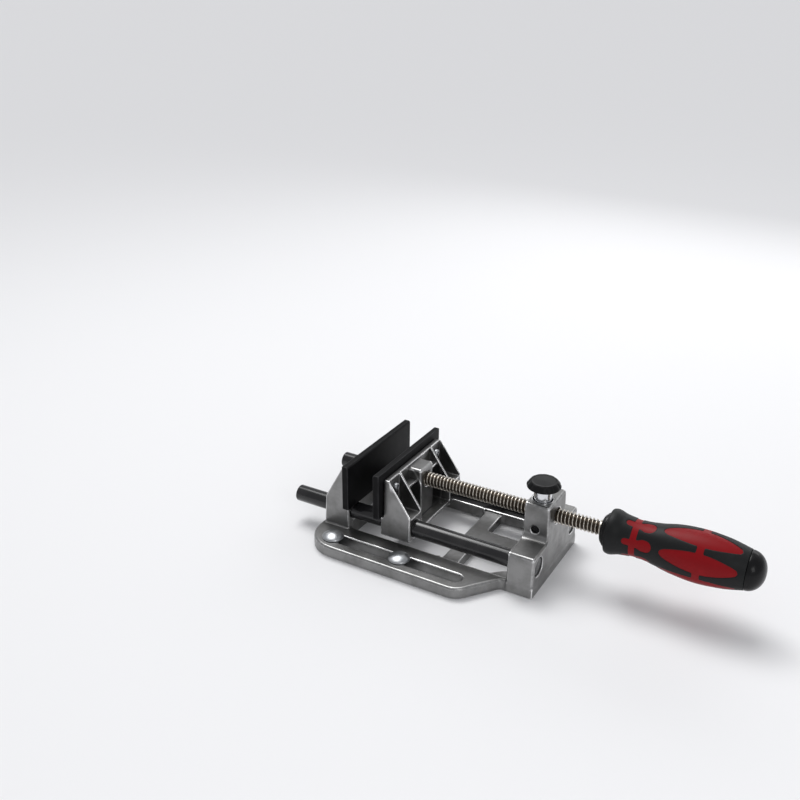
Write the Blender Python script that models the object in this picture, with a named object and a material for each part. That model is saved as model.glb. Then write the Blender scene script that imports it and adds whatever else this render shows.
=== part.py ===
# Drill-table machine vise with a quick-release half nut.
#
# Frame: +X runs along the screw towards the handle, +Y across the jaws, +Z up.
# The origin is the middle of the cross web's underside, on the plane the base rests on.
# Each casting starts as one extruded outline; helper solids are then united with it or cut from it.

import math

import bpy
import bmesh
from mathutils import Vector

MM = 0.001
GAP = 0.3 * MM

# Jaws and the stroke between them
JAW_WIDTH = 102 * MM
PLATE_THICKNESS = 5.8 * MM
PLATE_BOTTOM = 31.5 * MM
PLATE_TOP = 70.9 * MM
CASTING_TOP = 65 * MM
FIXED_SEAT_X = -94.3 * MM
REST_OPENING = 23.5 * MM
FIXED_FACE_X = FIXED_SEAT_X + PLATE_THICKNESS
MOVING_SEAT_X = FIXED_FACE_X + REST_OPENING + PLATE_THICKNESS

# Base
WING_HALF_WIDTH = 76.5 * MM
WING_HEIGHT = 10 * MM
WING_INNER = 42 * MM
BASE_REAR_X = -118.3 * MM
REAR_CORNER_RADIUS = 27.3 * MM
WEB_HEIGHT = 8 * MM
WEB_HALF_LENGTH = 7.2 * MM
SPINE_HALF_WIDTH = 14 * MM
WINDOW_BEND_X = 31.5 * MM
WINDOW_END_Y = 25 * MM
SLOT_Y = 61.7 * MM
SLOT_HALF_WIDTH = 5.5 * MM
SLOT_REAR_X = -102.5 * MM
SLOT_FRONT_X = 21 * MM
SLOT_RIM = 1.15 * MM

FOOTING = 1.5 * MM
STEP = 0.2 * MM

# Front block
BLOCK_REAR_X = 50.8 * MM
BLOCK_FRONT_X = 72.3 * MM
BLOCK_HALF_WIDTH = 46 * MM
SHOULDER_TOP = 35.2 * MM
TOWER_HALF_WIDTH = 17.8 * MM
TOWER_TOP = 64.65 * MM
SHOULDER_FILLET = 5 * MM

# Guide rods
ROD_Y = 35.3 * MM
ROD_Z = 23.65 * MM
ROD_RADIUS = 7 * MM
ROD_REAR_X = -147.5 * MM

# Both jaw castings
JAW_HALF_WIDTH = 45 * MM
SIDE_WALL = 2.2 * MM
FACE_WALL = 4.5 * MM
LEDGE = 2.3 * MM
RIB_Y = 26 * MM
RIB_HALF_THICKNESS = 1.1 * MM
SHELF_Z = 34.8 * MM
JAW_SCREW_Y = 34 * MM
JAW_SCREW_Z = 56 * MM
JAW_SCREW_RADIUS = 2.5 * MM
JAW_SCREW_HEAD = 3.4 * MM

# Moving jaw, measured from its seat
FOOT_BOTTOM = 14.5 * MM
FOOT_LENGTH = 25 * MM
FLOOR_Z = 19.3 * MM
FLOOR_THICKNESS = 3 * MM
BOSS_HALF_WIDTH = 10.2 * MM
BOSS_LENGTH = 16 * MM
BOSS_TOP = 61.7 * MM
GUSSET_REACH = 12 * MM
GUSSET_TOP = 52.5 * MM
GUSSET_THICKNESS = 2.4 * MM

# Screw and its journal in the moving jaw's boss
SCREW_Z = 50.16 * MM
SCREW_RADIUS = 6 * MM
JOURNAL_RADIUS = 5 * MM
GROOVE_RADIUS = 3.5 * MM
KEEPER_RADIUS = 1.5 * MM
KEEPER_X = 8.6 * MM
KEEPER_Y = GROOVE_RADIUS + GAP + KEEPER_RADIUS
WASHER_RADIUS = 6.3 * MM
WASHER_THICKNESS = 1.5 * MM
COUNTERBORE_DEPTH = 2.8 * MM
TANG_END_X = 180 * MM

# Release button, the carrier that hangs from it, and the half nut
RELEASE_X = 60.3 * MM
STEM_Y = -5 * MM
STEM_RADIUS = 7.1 * MM
STEM_TOP = 76.9 * MM
BUTTON_RADIUS = 13.3 * MM
CROWN_RADIUS = 10.5 * MM
BUTTON_BOTTOM = 75 * MM
BUTTON_TOP = 80.5 * MM
CARRIER_HALF_X = 5.9 * MM
CARRIER_HALF_Y = 13 * MM
CARRIER_BOTTOM = 31 * MM
CARRIER_TOP = 62.5 * MM
STEM_BOTTOM = CARRIER_TOP - 0.5 * MM
ARM_INNER_Y = 8.6 * MM
WINDOW_BOTTOM = 35 * MM
POCKET_HALF_X = 6.4 * MM
POCKET_HALF_Y = 13.4 * MM
POCKET_TOP = 62.9 * MM
RELEASE_TRAVEL = 3.5 * MM
STOP_PIN_RADIUS = 3 * MM
STOP_PIN_Z = 43 * MM
STOP_PIN_INNER = 11.9 * MM
STOP_PIN_OUTER = 15.3 * MM
SEAT_PLATE_HALF_X = 7.2 * MM
SEAT_PLATE_HALF_Y = 20 * MM
SEAT_RECESS = 3.3 * MM
SEAT_SCREW_Y = 16.7 * MM
SPRING_RADIUS = 4.5 * MM
SPRING_WIRE = 0.7 * MM
SPRING_TURNS = 7

# Handle: radius control points (x, r) of the sleeve, joined by a smooth curve
FERRULE_FRONT_X = 107.7 * MM
SLEEVE_FRONT_X = 112.9 * MM
SEAM_X = 214.2 * MM
HANDLE_TIP_X = 226.6 * MM
SLEEVE_POINTS = [(114.6, 17.3), (124.3, 15.5), (135, 14.35), (149.9, 15.75), (161.7, 18.35),
                 (180, 20.15), (197.3, 18.75), (213.9, 15.1)]
SLEEVE_WALL = 2.5 * MM

# Hold-down bolts
BOLT_X = {"rear": -96.6 * MM, "front": -34.2 * MM}
BOLT_RADIUS = 4 * MM
BOLT_HEAD_RADIUS = 9 * MM
BOLT_HEAD_HEIGHT = 4.4 * MM
BOLT_NECK_DEPTH = 5.5 * MM

# Sides of the middle plane
SIDES = {"near": -1, "far": 1}

# Facets round one full turn
FINE = 32
MEDIUM = 24
COARSE = 16


def clear_scene():
    for thing in list(bpy.data.objects):
        bpy.data.objects.remove(thing, do_unlink=True)


def make_material(name, colour, roughness, metallic):
    material = bpy.data.materials.new(name)
    material.use_nodes = True
    shader = material.node_tree.nodes["Principled BSDF"]
    shader.inputs["Base Color"].default_value = (*colour, 1)
    shader.inputs["Roughness"].default_value = roughness
    shader.inputs["Metallic"].default_value = metallic
    return material


def rounded(corners, steps=4):
    """Outline through corners (u, v, radius), each turned through an arc of that radius."""
    points = []
    for index, (u, v, radius) in enumerate(corners):
        corner = Vector((u, v))
        if radius == 0:
            points.append(corner)
            continue
        back = (Vector(corners[index - 1][:2]) - corner).normalized()
        ahead = (Vector(corners[(index + 1) % len(corners)][:2]) - corner).normalized()
        half = back.angle(ahead) / 2
        centre = corner + (back + ahead).normalized() * radius / math.sin(half)
        first = corner + back * radius / math.tan(half) - centre
        last = corner + ahead * radius / math.tan(half) - centre
        start = math.atan2(first.y, first.x)
        sweep = math.remainder(math.atan2(last.y, last.x) - start, 2 * math.pi)
        for step in range(steps + 1):
            angle = start + sweep * step / steps
            points.append(centre + radius * Vector((math.cos(angle), math.sin(angle))))
    return points


def rectangle(low_u, high_u, low_v, high_v, radius=0, steps=4):
    corners = [(low_u, low_v), (high_u, low_v), (high_u, high_v), (low_u, high_v)]
    return rounded([(u, v, radius) for u, v in corners], steps)


def circle(centre_u, centre_v, radius, steps):
    angles = [2 * math.pi * step / steps for step in range(steps)]
    return [Vector((centre_u + radius * math.cos(a), centre_v + radius * math.sin(a))) for a in angles]


def bore(centre_u, centre_v, shaft_radius, steps):
    """Circle whose flats, not its corners, clear the shaft by the gap."""
    return circle(centre_u, centre_v, (shaft_radius + GAP) / math.cos(math.pi / steps), steps)


def grown(outline, amount):
    """The counter-clockwise outline moved outwards by an amount, or inwards if negative."""
    moved = []
    for index, point in enumerate(outline):
        back = (point - outline[index - 1]).normalized()
        ahead = (outline[(index + 1) % len(outline)] - point).normalized()
        normal = Vector((back.y + ahead.y, -back.x - ahead.x)).normalized()
        spread = max(normal.dot(Vector((ahead.y, -ahead.x))), 0.3)
        moved.append(point + normal * amount / spread)
    return moved


def on_axis(axis, u, v, height):
    """Point of an outline at a height along the axis; u and v are the two other axes in X, Y, Z order."""
    return {"X": (height, u, v), "Y": (u, height, v), "Z": (u, v, height)}[axis]


def bridge(mesh, loops, closed):
    """Faces between neighbouring loops of vertices; a loop of one vertex is a pole."""
    pairs = list(zip(loops, loops[1:]))
    if closed:
        pairs.append((loops[-1], loops[0]))
    for lower, upper in pairs:
        for index in range(max(len(lower), len(upper))):
            after = index + 1
            corners = [lower[index % len(lower)], lower[after % len(lower)],
                       upper[after % len(upper)], upper[index % len(upper)]]
            mesh.faces.new(list(dict.fromkeys(corners)))


def solid(outline, axis, *rings):
    """Closed solid through rings (height, growth) of one outline."""
    mesh = bmesh.new()
    loops = []
    for height, growth in rings:
        ring = grown(outline, growth) if growth else outline
        loops.append([mesh.verts.new(on_axis(axis, p.x, p.y, height)) for p in ring])
    bridge(mesh, loops, closed=False)
    mesh.faces.new(loops[0])
    mesh.faces.new(loops[-1])
    bmesh.ops.recalc_face_normals(mesh, faces=mesh.faces)
    return mesh


def block(low_x, high_x, low_y, high_y, low_z, high_z):
    return solid(rectangle(low_x, high_x, low_y, high_y), "Z", (low_z, 0), (high_z, 0))


def chamfered(outline, axis, low, high, width):
    return solid(outline, axis, (low, -width), (low + width, 0), (high - width, 0), (high, -width))


def turned(profile, axis, steps, closed=False, centre=(0, 0)):
    """Solid of revolution of (height, radius) points; a closed profile makes a ring."""
    mesh = bmesh.new()
    loops = []
    for height, radius in profile:
        ring = circle(centre[0], centre[1], radius, steps) if radius else [Vector(centre)]
        loops.append([mesh.verts.new(on_axis(axis, p.x, p.y, height)) for p in ring])
    bridge(mesh, loops, closed)
    bmesh.ops.recalc_face_normals(mesh, faces=mesh.faces)
    return mesh


def mirrored(make):
    """Two copies of a solid, made for the near side and the far side."""
    return [make(side) for side in SIDES.values()]


def span(side, inner, outer):
    """Low and high Y of a stretch that lies between two distances from the middle, on one side."""
    return (inner, outer) if side > 0 else (-outer, -inner)


def add_object(name, mesh, material, parent=None, location=(0, 0, 0)):
    data = bpy.data.meshes.new(name)
    mesh.to_mesh(data)
    mesh.free()
    thing = bpy.data.objects.new(name, data)
    bpy.context.scene.collection.objects.link(thing)
    if material:
        data.materials.append(material)
    data.shade_smooth()
    data.set_sharp_from_angle(angle=math.radians(35))
    thing.parent = parent
    thing.location = location
    return thing


def add_frame(name, location):
    frame = bpy.data.objects.new(name, None)
    bpy.context.scene.collection.objects.link(frame)
    frame.location = location
    return frame


def combine(target, operation, meshes):
    """Boolean of a target with helper solids that share its place."""
    label = f"{target.name}_{operation.lower()}_{len(target.modifiers)}"
    helpers = bpy.data.collections.new(label)
    bpy.context.scene.collection.children.link(helpers)
    for index, mesh in enumerate(meshes):
        helper = add_object(f"{label}_{index}", mesh, None, target.parent, target.location)
        bpy.context.scene.collection.objects.unlink(helper)
        helpers.objects.link(helper)
        helper.hide_render = True
        helper.display_type = "WIRE"
    modifier = target.modifiers.new(label, "BOOLEAN")
    modifier.operation = operation
    modifier.solver = "EXACT"
    modifier.operand_type = "COLLECTION"
    modifier.collection = helpers


# ---- Base casting ----

def base_outline():
    """Plan of the base: round rear corners, straight wings, then diagonals in to the front block."""
    neck = BLOCK_HALF_WIDTH - STEP
    near = [(BASE_REAR_X, -WING_HALF_WIDTH, REAR_CORNER_RADIUS),
            (23.1 * MM, -WING_HALF_WIDTH, 15 * MM),
            (46.6 * MM, -neck, 5 * MM),
            (BLOCK_FRONT_X - STEP, -neck, 0)]
    far = [(x, -y, radius) for x, y, radius in reversed(near)]
    return rounded(near + far, steps=6)


def block_outline():
    """Front view of the front block: low shoulders round the rods, a tower round the screw."""
    right = [(BLOCK_HALF_WIDTH, FOOTING, 0), (BLOCK_HALF_WIDTH, SHOULDER_TOP, 2 * MM),
             (TOWER_HALF_WIDTH, SHOULDER_TOP, SHOULDER_FILLET), (TOWER_HALF_WIDTH, TOWER_TOP, 2 * MM)]
    left = [(-y, z, radius) for y, z, radius in reversed(right)]
    return rounded(right + left, steps=3)


def fixed_jaw_outline():
    """Side view of the fixed jaw: upright seat in front, sloping back."""
    front = FIXED_SEAT_X + LEDGE
    return rounded([(-116.2 * MM, FOOTING, 0), (front, FOOTING, 0), (front, PLATE_BOTTOM - GAP, 0),
                    (FIXED_SEAT_X, PLATE_BOTTOM - GAP, 0), (FIXED_SEAT_X, CASTING_TOP, 0),
                    (-98.8 * MM, CASTING_TOP, 2.5 * MM), (-114.8 * MM, 35 * MM, 4 * MM)], steps=3)


def base_recess():
    """Shallow step down from the wings to the web and the spine."""
    inner = WING_INNER - STEP
    outline = rectangle(-WEB_HALF_LENGTH - 1 * MM, BLOCK_REAR_X + 1 * MM, -inner, inner, 4 * MM)
    return solid(outline, "Z", (WEB_HEIGHT, 0), (WING_HEIGHT + 1 * MM, 0))


def window_outline(side):
    """Plan of a window beside the spine: straight along the wing, then slanting in to the block."""
    front = BLOCK_REAR_X + 2 * STEP
    corners = [(WEB_HALF_LENGTH, SPINE_HALF_WIDTH, 3 * MM), (front, SPINE_HALF_WIDTH, 0),
               (front, WINDOW_END_Y, 0), (WINDOW_BEND_X, WING_INNER, 6 * MM),
               (WEB_HALF_LENGTH, WING_INNER, 4 * MM)]
    return rounded([(x, side * y, radius) for x, y, radius in corners])


def base_windows():
    """The throat behind the cross web and the two windows beside the spine."""
    low, high = -1 * MM, WING_HEIGHT + 1 * MM
    throat = rectangle(FIXED_SEAT_X + LEDGE - 2 * STEP, -WEB_HALF_LENGTH, -WING_INNER, WING_INNER, 5 * MM)
    outlines = [throat] + mirrored(window_outline)
    return [solid(outline, "Z", (low, 0), (high, 0)) for outline in outlines]


def slot_cutter(side):
    low_y, high_y = span(side, SLOT_Y - SLOT_HALF_WIDTH, SLOT_Y + SLOT_HALF_WIDTH)
    outline = rectangle(SLOT_REAR_X, SLOT_FRONT_X, low_y, high_y, SLOT_HALF_WIDTH * 0.999, steps=8)
    over = 0.15 * MM
    return solid(outline, "Z", (-1 * MM, 0), (WING_HEIGHT - SLOT_RIM, 0),
                 (WING_HEIGHT + over, SLOT_RIM + over))


def fixed_pocket_cutters():
    """Three pockets in the back of the fixed jaw, with a rib between neighbours."""
    rear, front = BASE_REAR_X - 10 * MM, FIXED_SEAT_X - FACE_WALL
    top = CASTING_TOP + 10 * MM
    rib_inner, rib_outer = RIB_Y - RIB_HALF_THICKNESS, RIB_Y + RIB_HALF_THICKNESS
    middle = block(rear, front, -rib_inner, rib_inner, WING_HEIGHT + 2 * MM, top)
    outer = mirrored(lambda side: block(rear, front, *span(side, rib_outer, JAW_HALF_WIDTH - SIDE_WALL),
                                        SHELF_Z, top))
    return [middle] + outer


def rod_bores(low_x, high_x):
    return mirrored(lambda side: solid(bore(side * ROD_Y, ROD_Z, ROD_RADIUS, MEDIUM), "X",
                                       (low_x, 0), (high_x, 0)))


def release_cutters():
    """Everything cut from the tower for the release: pocket, stem bore, screw bore, pin holes, seat."""
    mid = RELEASE_X
    pocket = block(mid - POCKET_HALF_X, mid + POCKET_HALF_X, -POCKET_HALF_Y, POCKET_HALF_Y,
                   SEAT_RECESS - 1 * MM, POCKET_TOP)
    stem = solid(circle(mid, STEM_Y, STEM_RADIUS + 0.8 * MM, FINE), "Z",
                 (STEM_BOTTOM - RELEASE_TRAVEL - GAP, 0), (TOWER_TOP + 1 * MM, 0))
    screw = solid(bore(0, SCREW_Z, SCREW_RADIUS + 0.2 * MM, MEDIUM), "X",
                  (BLOCK_REAR_X - 1 * MM, 0), (BLOCK_FRONT_X + 1 * MM, 0))
    pins = solid(bore(mid, STOP_PIN_Z, STOP_PIN_RADIUS, COARSE), "Y",
                 (-TOWER_HALF_WIDTH - 1 * MM, 0), (TOWER_HALF_WIDTH + 1 * MM, 0))
    seat = block(mid - SEAT_PLATE_HALF_X - GAP, mid + SEAT_PLATE_HALF_X + GAP,
                 -SEAT_PLATE_HALF_Y - GAP, SEAT_PLATE_HALF_Y + GAP, -1 * MM, SEAT_RECESS)
    threads = mirrored(lambda side: solid(bore(mid, side * SEAT_SCREW_Y, 1.5 * MM, COARSE), "Z",
                                          (SEAT_RECESS - 1 * MM, 0), (9 * MM, 0)))
    return [pocket, stem, screw, pins, seat] + threads


def add_base_casting(material):
    casting = add_object("base_casting", solid(base_outline(), "Z", (0, 0), (WING_HEIGHT - 1.2 * MM, 0),
                                               (WING_HEIGHT, -1.2 * MM)), material)
    combine(casting, "DIFFERENCE", [base_recess()])
    combine(casting, "DIFFERENCE", base_windows() + mirrored(slot_cutter))
    front_block = chamfered(block_outline(), "X", BLOCK_REAR_X, BLOCK_FRONT_X, 1 * MM)
    fixed_jaw = chamfered(fixed_jaw_outline(), "Y", -JAW_HALF_WIDTH, JAW_HALF_WIDTH, 1 * MM)
    combine(casting, "UNION", [front_block, fixed_jaw])
    cutters = fixed_pocket_cutters() + release_cutters()
    cutters += rod_bores(BASE_REAR_X - 5 * MM, FIXED_SEAT_X + 5 * MM)
    cutters += rod_bores(BLOCK_REAR_X - 1 * MM, BLOCK_FRONT_X + 1 * MM)
    cutters += jaw_screw_holes(FIXED_SEAT_X - FACE_WALL - 1 * MM, FIXED_SEAT_X + 1 * MM)
    combine(casting, "DIFFERENCE", cutters)


# ---- Jaw plates, their screws and the guide rods ----

def jaw_screw_holes(low_x, high_x):
    return mirrored(lambda side: solid(bore(side * JAW_SCREW_Y, JAW_SCREW_Z, JAW_SCREW_RADIUS, COARSE), "X",
                                       (low_x, 0), (high_x, 0)))


def add_jaw_plate(name, material, direction, parent=None, seat_x=0):
    """Hardened plate with a chamfered top edge; direction is the side its clamping face looks to."""
    back, face = GAP * direction, PLATE_THICKNESS * direction
    chamfer = 1.2 * MM
    corners = [(back, PLATE_BOTTOM), (face, PLATE_BOTTOM), (face, PLATE_TOP - chamfer),
               (face - chamfer * direction, PLATE_TOP), (back + 0.5 * MM * direction, PLATE_TOP),
               (back, PLATE_TOP - 0.5 * MM)]
    outline = [Vector(corner) for corner in corners]
    if direction < 0:
        outline.reverse()
    plate = add_object(name, chamfered(outline, "Y", -JAW_WIDTH / 2, JAW_WIDTH / 2, 0.5 * MM), material,
                       parent, (seat_x, 0, 0))
    depth = 4.2 * MM * direction
    over = -GAP * direction
    combine(plate, "DIFFERENCE", jaw_screw_holes(min(over, depth), max(over, depth)))


def add_jaw_screws(jaw, material, direction, parent=None, seat_x=0):
    """Pan-head screws that reach through the casting's wall into the plate."""
    head = -(FACE_WALL + GAP) * direction
    crown = head - 3 * MM * direction
    edge, tip = head - 1.6 * MM * direction, 3.8 * MM * direction
    profile = [(crown, 0), (crown, JAW_SCREW_HEAD - 1.2 * MM), (edge, JAW_SCREW_HEAD),
               (head, JAW_SCREW_HEAD), (head, JAW_SCREW_RADIUS), (tip, JAW_SCREW_RADIUS), (tip, 0)]
    for place, side in SIDES.items():
        add_object(f"{jaw}_jaw_screw_{place}", turned(profile, "X", COARSE), material, parent,
                   (seat_x, side * JAW_SCREW_Y, JAW_SCREW_Z))


def add_guide_rod(name, material, side):
    chamfer = 0.8 * MM
    rear, front = ROD_REAR_X, BLOCK_FRONT_X - 0.5 * MM
    profile = [(rear, 0), (rear, ROD_RADIUS - chamfer), (rear + chamfer, ROD_RADIUS),
               (front - chamfer, ROD_RADIUS), (front, ROD_RADIUS - chamfer), (front, 0)]
    add_object(name, turned(profile, "X", MEDIUM), material, location=(0, side * ROD_Y, ROD_Z))


# ---- Moving jaw ----

def moving_jaw_outline():
    """Side view from the seat: front face, ledge under the plate, foot, sloping sides."""
    return rounded([(-LEDGE, FOOT_BOTTOM, 1 * MM), (FOOT_LENGTH, FOOT_BOTTOM, 1 * MM),
                    (FOOT_LENGTH, 36.5 * MM, 2 * MM), (5.6 * MM, CASTING_TOP, 2 * MM), (0, CASTING_TOP, 0),
                    (0, PLATE_BOTTOM - GAP, 0), (-LEDGE, PLATE_BOTTOM - GAP, 0)], steps=3)


def moving_pocket_cutters():
    """Pockets between side wall, rib and boss, and the hollow under the floor."""
    far_x, top = FOOT_LENGTH + 5 * MM, CASTING_TOP + 5 * MM
    rib_inner, rib_outer = RIB_Y - RIB_HALF_THICKNESS, RIB_Y + RIB_HALF_THICKNESS
    outer = mirrored(lambda side: block(FACE_WALL, far_x, *span(side, rib_outer, JAW_HALF_WIDTH - SIDE_WALL),
                                        SHELF_Z, top))
    beside_boss = mirrored(lambda side: block(FACE_WALL, BOSS_LENGTH, *span(side, BOSS_HALF_WIDTH, rib_inner),
                                              FLOOR_Z, top))
    before_boss = block(BOSS_LENGTH, far_x, -rib_inner, rib_inner, FLOOR_Z, top)
    above_boss = block(FACE_WALL, far_x, -rib_inner, rib_inner, BOSS_TOP, top)
    below = block(3 * MM, far_x, -rib_inner, rib_inner, 0, FLOOR_Z - FLOOR_THICKNESS)
    return outer + beside_boss + [before_boss, above_boss, below]


def gusset(side):
    """Small level web between the boss and the rib beside it, sunk a little way into its neighbours."""
    sunk = 0.6 * MM
    low_y, high_y = span(side, BOSS_HALF_WIDTH - sunk, RIB_Y - RIB_HALF_THICKNESS + sunk)
    return block(FACE_WALL - sunk, GUSSET_REACH, low_y, high_y, GUSSET_TOP - GUSSET_THICKNESS, GUSSET_TOP)


def journal_cutters():
    """Blind bore and counterbore for the screw's end, and two holes from below for the keeper pins."""
    journal = solid(bore(0, SCREW_Z, JOURNAL_RADIUS, MEDIUM), "X", (4 * MM, 0), (BOSS_LENGTH + 1 * MM, 0))
    counterbore = solid(bore(0, SCREW_Z, WASHER_RADIUS, MEDIUM), "X",
                        (BOSS_LENGTH - COUNTERBORE_DEPTH, 0), (BOSS_LENGTH + 1 * MM, 0))
    pins = mirrored(lambda side: solid(bore(KEEPER_X, side * KEEPER_Y, KEEPER_RADIUS, COARSE), "Z",
                                       (FLOOR_Z - FLOOR_THICKNESS - 1 * MM, 0), (55.5 * MM, 0)))
    return [journal, counterbore] + pins


def add_moving_jaw_casting(material, parent):
    casting = add_object("moving_jaw_casting", chamfered(moving_jaw_outline(), "Y", -JAW_HALF_WIDTH,
                                                         JAW_HALF_WIDTH, 0.8 * MM), material, parent)
    combine(casting, "DIFFERENCE", moving_pocket_cutters())
    combine(casting, "UNION", mirrored(gusset))
    holes = journal_cutters() + rod_bores(-LEDGE - 1 * MM, FOOT_LENGTH + 1 * MM)
    combine(casting, "DIFFERENCE", holes + jaw_screw_holes(-1 * MM, FACE_WALL + 1 * MM))


def add_keeper_pins(material, parent):
    """Two upright pins that sit in the journal's groove and pull the jaw back with the screw."""
    low, high = 25 * MM, 55 * MM
    profile = [(low, 0), (low, KEEPER_RADIUS), (high, KEEPER_RADIUS), (high, 0)]
    for place, side in SIDES.items():
        add_object(f"spindle_keeper_pin_{place}", turned(profile, "Z", COARSE), material, parent,
                   (KEEPER_X, side * KEEPER_Y, 0))


def add_thrust_washer(material, parent):
    low = BOSS_LENGTH - COUNTERBORE_DEPTH + GAP
    high = low + WASHER_THICKNESS
    inner = (JOURNAL_RADIUS + GAP) / math.cos(math.pi / MEDIUM)
    profile = [(low, inner), (high, inner), (high, WASHER_RADIUS), (low, WASHER_RADIUS)]
    add_object("thrust_washer", turned(profile, "X", MEDIUM, closed=True), material, parent, (0, 0, SCREW_Z))


# ---- Spindle and handle, turned about the screw axis ----

def add_spindle(material, parent):
    """Journal with its groove, threaded length at its outer diameter, and the tang in the handle."""
    boss = MOVING_SEAT_X
    groove_low = boss + KEEPER_X - KEEPER_RADIUS - GAP
    groove_high = boss + KEEPER_X + KEEPER_RADIUS + GAP
    shoulder = boss + BOSS_LENGTH - COUNTERBORE_DEPTH + 2 * GAP + WASHER_THICKNESS
    profile = [(boss + 4.5 * MM, 0), (boss + 4.5 * MM, JOURNAL_RADIUS - 0.5 * MM),
               (boss + 5 * MM, JOURNAL_RADIUS), (groove_low, JOURNAL_RADIUS), (groove_low, GROOVE_RADIUS),
               (groove_high, GROOVE_RADIUS), (groove_high, JOURNAL_RADIUS), (shoulder, JOURNAL_RADIUS),
               (shoulder, SCREW_RADIUS), (FERRULE_FRONT_X - 0.7 * MM, SCREW_RADIUS),
               (FERRULE_FRONT_X - 0.7 * MM, JOURNAL_RADIUS), (TANG_END_X, JOURNAL_RADIUS), (TANG_END_X, 0)]
    add_object("spindle", turned(profile, "X", MEDIUM), material, parent)


def add_ferrule(material, parent):
    """Black collar in two steps where the screw enters the handle."""
    inner = JOURNAL_RADIUS + 0.4 * MM
    step_x, rear_x = 109.4 * MM, SLEEVE_FRONT_X - GAP
    profile = [(FERRULE_FRONT_X, inner), (FERRULE_FRONT_X, 11.2 * MM), (108.2 * MM, 11.7 * MM),
               (step_x, 11.7 * MM), (step_x, 12.6 * MM), (step_x + 0.5 * MM, 13.1 * MM),
               (rear_x, 13.1 * MM), (rear_x, inner)]
    add_object("handle_ferrule", turned(profile, "X", FINE, closed=True), material, parent)


def smooth_curve(points, steps):
    """Catmull-Rom curve through points, with a number of steps in each span."""
    ends = [points[0] * 2 - points[1]] + points + [points[-1] * 2 - points[-2]]
    curve = []
    for before, start, end, after in zip(ends, ends[1:], ends[2:], ends[3:]):
        for step in range(steps):
            t = step / steps
            curve.append((start * 2 + (end - before) * t + (before * 2 - start * 5 + end * 4 - after) * t ** 2
                          + (start * 3 - before - end * 3 + after) * t ** 3) / 2)
    return curve + [points[-1]]


def sleeve_curve():
    """Outer radius of the grip from its front rim to the seam of the end cap."""
    return [tuple(point) for point in smooth_curve([Vector(p) * MM for p in SLEEVE_POINTS], 3)]


def add_sleeve(material, parent):
    outer = [(SLEEVE_FRONT_X, 16.1 * MM), (113.4 * MM, 16.9 * MM)] + sleeve_curve()
    inner = [(x, radius - SLEEVE_WALL) for x, radius in sleeve_curve()[3::3]]
    bore_radius = 12 * MM
    mouth = [(SLEEVE_FRONT_X + 0.8 * MM, bore_radius), (SLEEVE_FRONT_X, bore_radius)]
    profile = outer + [(SEAM_X - GAP, inner[-1][1])] + inner[::-1][1:] + mouth
    add_object("handle_sleeve", turned(profile, "X", FINE, closed=True), material, parent)


def add_core(material, parent):
    """Hard moulded core: follows the sleeve's inside, bored for the tang and for the end cap's plug."""
    shrink = SLEEVE_WALL + 0.45 * MM
    skin = [(x, radius - shrink) for x, radius in sleeve_curve()[3:-1:3]]
    tang, plug = JOURNAL_RADIUS + 0.4 * MM, 6.5 * MM
    rear_x = SEAM_X - 1.2 * MM
    outer = [(SLEEVE_FRONT_X + 0.4 * MM, 11.5 * MM)] + skin + [(rear_x, 11.5 * MM)]
    hole = [(rear_x, plug), (203 * MM, plug), (203 * MM, tang), (SLEEVE_FRONT_X + 0.4 * MM, tang)]
    add_object("handle_core", turned(outer + hole, "X", FINE, closed=True), material, parent)


def add_end_cap(material, parent):
    """Domed cap with a plug; the dome is a super-ellipse from the seam to the tip."""
    seam_radius = 14.9 * MM
    length = HANDLE_TIP_X - SEAM_X
    dome = []
    for step in range(9):
        angle = math.pi / 2 * step / 8
        radius = seam_radius * math.cos(angle) ** 0.85 if step < 8 else 0
        dome.append((SEAM_X + length * math.sin(angle), radius))
    plug = [(204 * MM, 0), (204 * MM, 5.6 * MM), (205 * MM, 6.1 * MM), (SEAM_X, 6.1 * MM)]
    add_object("handle_end_cap", turned(plug + dome, "X", FINE), material, parent)


# ---- Quick release, on an upright axis through the front block ----

def add_button(material, parent):
    """Cap with a conical edge, a low crown and a blind hole for the stem."""
    hole, ceiling = (STEM_RADIUS + GAP) / math.cos(math.pi / FINE), STEM_TOP + GAP
    rounding = 0.6 * MM
    profile = [(ceiling, 0), (ceiling, hole), (BUTTON_BOTTOM, hole),
               (BUTTON_BOTTOM, BUTTON_RADIUS - rounding), (BUTTON_BOTTOM + rounding, BUTTON_RADIUS),
               (BUTTON_BOTTOM + 3 * rounding, BUTTON_RADIUS),
               (BUTTON_TOP - 0.8 * MM, CROWN_RADIUS + rounding / 2),
               (BUTTON_TOP - 0.3 * MM, CROWN_RADIUS - rounding),
               (BUTTON_TOP, CROWN_RADIUS * 0.6), (BUTTON_TOP, 0)]
    add_object("release_button", turned(profile, "Z", FINE), material, parent, (0, STEM_Y, 0))


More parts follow.
